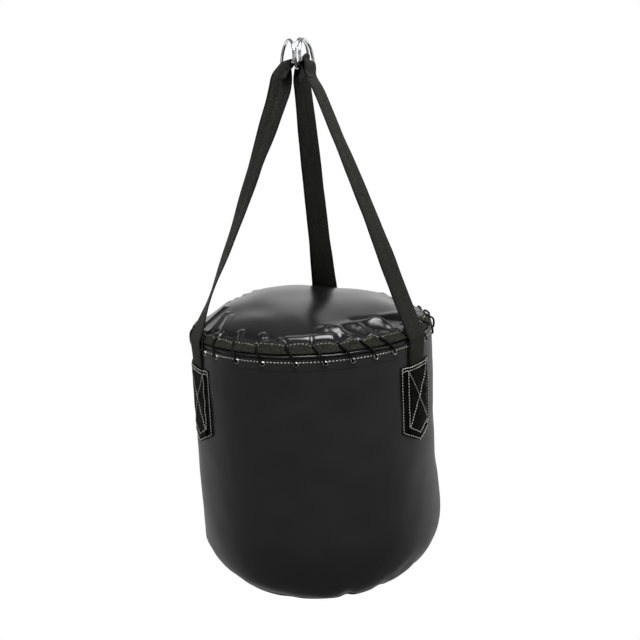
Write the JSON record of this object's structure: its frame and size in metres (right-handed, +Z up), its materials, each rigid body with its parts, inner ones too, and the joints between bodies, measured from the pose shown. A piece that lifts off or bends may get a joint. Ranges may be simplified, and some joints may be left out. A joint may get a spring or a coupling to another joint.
{
  "type": "punching bag",
  "caption": "Short round punching bag with a laced, crowned top cover, hung on webbing straps that are sewn to pointed wall patches and end in D-rings.",
  "frame": {"origin": "the point where a hook carries the three D-rings, at the inner top of their arches, on the bag's axis", "axes": "+Z up along the bag's axis, +X to the right in the front view, -Y towards the front"},
  "size_m": [0.3508, 0.3551, 0.7447],
  "materials": {
    "satin_vinyl": "satin coated fabric, black",
    "glossy_vinyl": "glossy coated fabric, black",
    "black_webbing": "matt woven webbing, black",
    "patch_fabric": "matt coated fabric with pale stitching",
    "nickel_eyelets": "nickel plated",
    "chrome_wire": "polished chrome plate",
    "braided_cord": "braided synthetic cord, black",
    "grey_foam": "open foam",
    "textile_filling": "packed textile offcuts"
  },
  "bodies": {
    "bag": {"side_wall": "satin_vinyl", "side_seam": "satin_vinyl", "bottom_panel": "satin_vinyl", "bottom_welt": "satin_vinyl", "rim_piping": "satin_vinyl", "top_cover": "glossy_vinyl", "cover_binding": "black_webbing", "wall_eyelet_band": "nickel_eyelets", "cover_eyelet_band": "nickel_eyelets", "lacing_cord": "braided_cord", "lacing_knot": "braided_cord", "foam_sleeve": "grey_foam", "top_pad": "grey_foam", "base_pad": "grey_foam", "filling_core": "textile_filling", "anchor_left": "black_webbing", "patch_left": "patch_fabric", "anchor_right": "black_webbing", "patch_right": "patch_fabric", "anchor_back": "black_webbing", "patch_back": "patch_fabric"},
    "strap_left": {"strap_left": "black_webbing"},
    "strap_right": {"strap_right": "black_webbing"},
    "strap_back": {"strap_back": "black_webbing"},
    "ring_left": {"ring_left": "chrome_wire"},
    "ring_right": {"ring_right": "chrome_wire"},
    "ring_back": {"ring_back": "chrome_wire"}
  },
  "joints": [
    {"name": "strap_left_fold", "type": "hinge", "parent": "bag", "child": "strap_left", "pos_m": [-0.16297, -0.07427, -0.3795], "axis": [0.4147, -0.91, 0], "range_deg": [0, 190]},
    {"name": "strap_right_fold", "type": "hinge", "parent": "bag", "child": "strap_right", "pos_m": [0.14304, -0.10779, -0.3795], "axis": [0.6018, 0.7986, 0], "range_deg": [0, 190]},
    {"name": "strap_back_fold", "type": "hinge", "parent": "bag", "child": "strap_back", "pos_m": [0.02647, 0.17713, -0.3795], "axis": [-0.989, 0.1478, 0], "range_deg": [0, 190]},
    {"name": "ring_left_turn", "type": "hinge", "parent": "strap_left", "child": "ring_left", "pos_m": [-0.01546, -0.00248, -0.02753], "axis": [0.3588, -0.9326, 0.0396], "range_deg": [0, 110]},
    {"name": "ring_right_turn", "type": "hinge", "parent": "strap_right", "child": "ring_right", "pos_m": [0.0108, -0.00477, -0.02734], "axis": [0.3896, 0.9132, -0.1198], "range_deg": [0, 110]},
    {"name": "ring_back_turn", "type": "hinge", "parent": "strap_back", "child": "ring_back", "pos_m": [0.00456, 0.01177, -0.02514], "axis": [-0.3504, -0.8418, -0.4107], "range_deg": [-4, 2]}
  ]
}
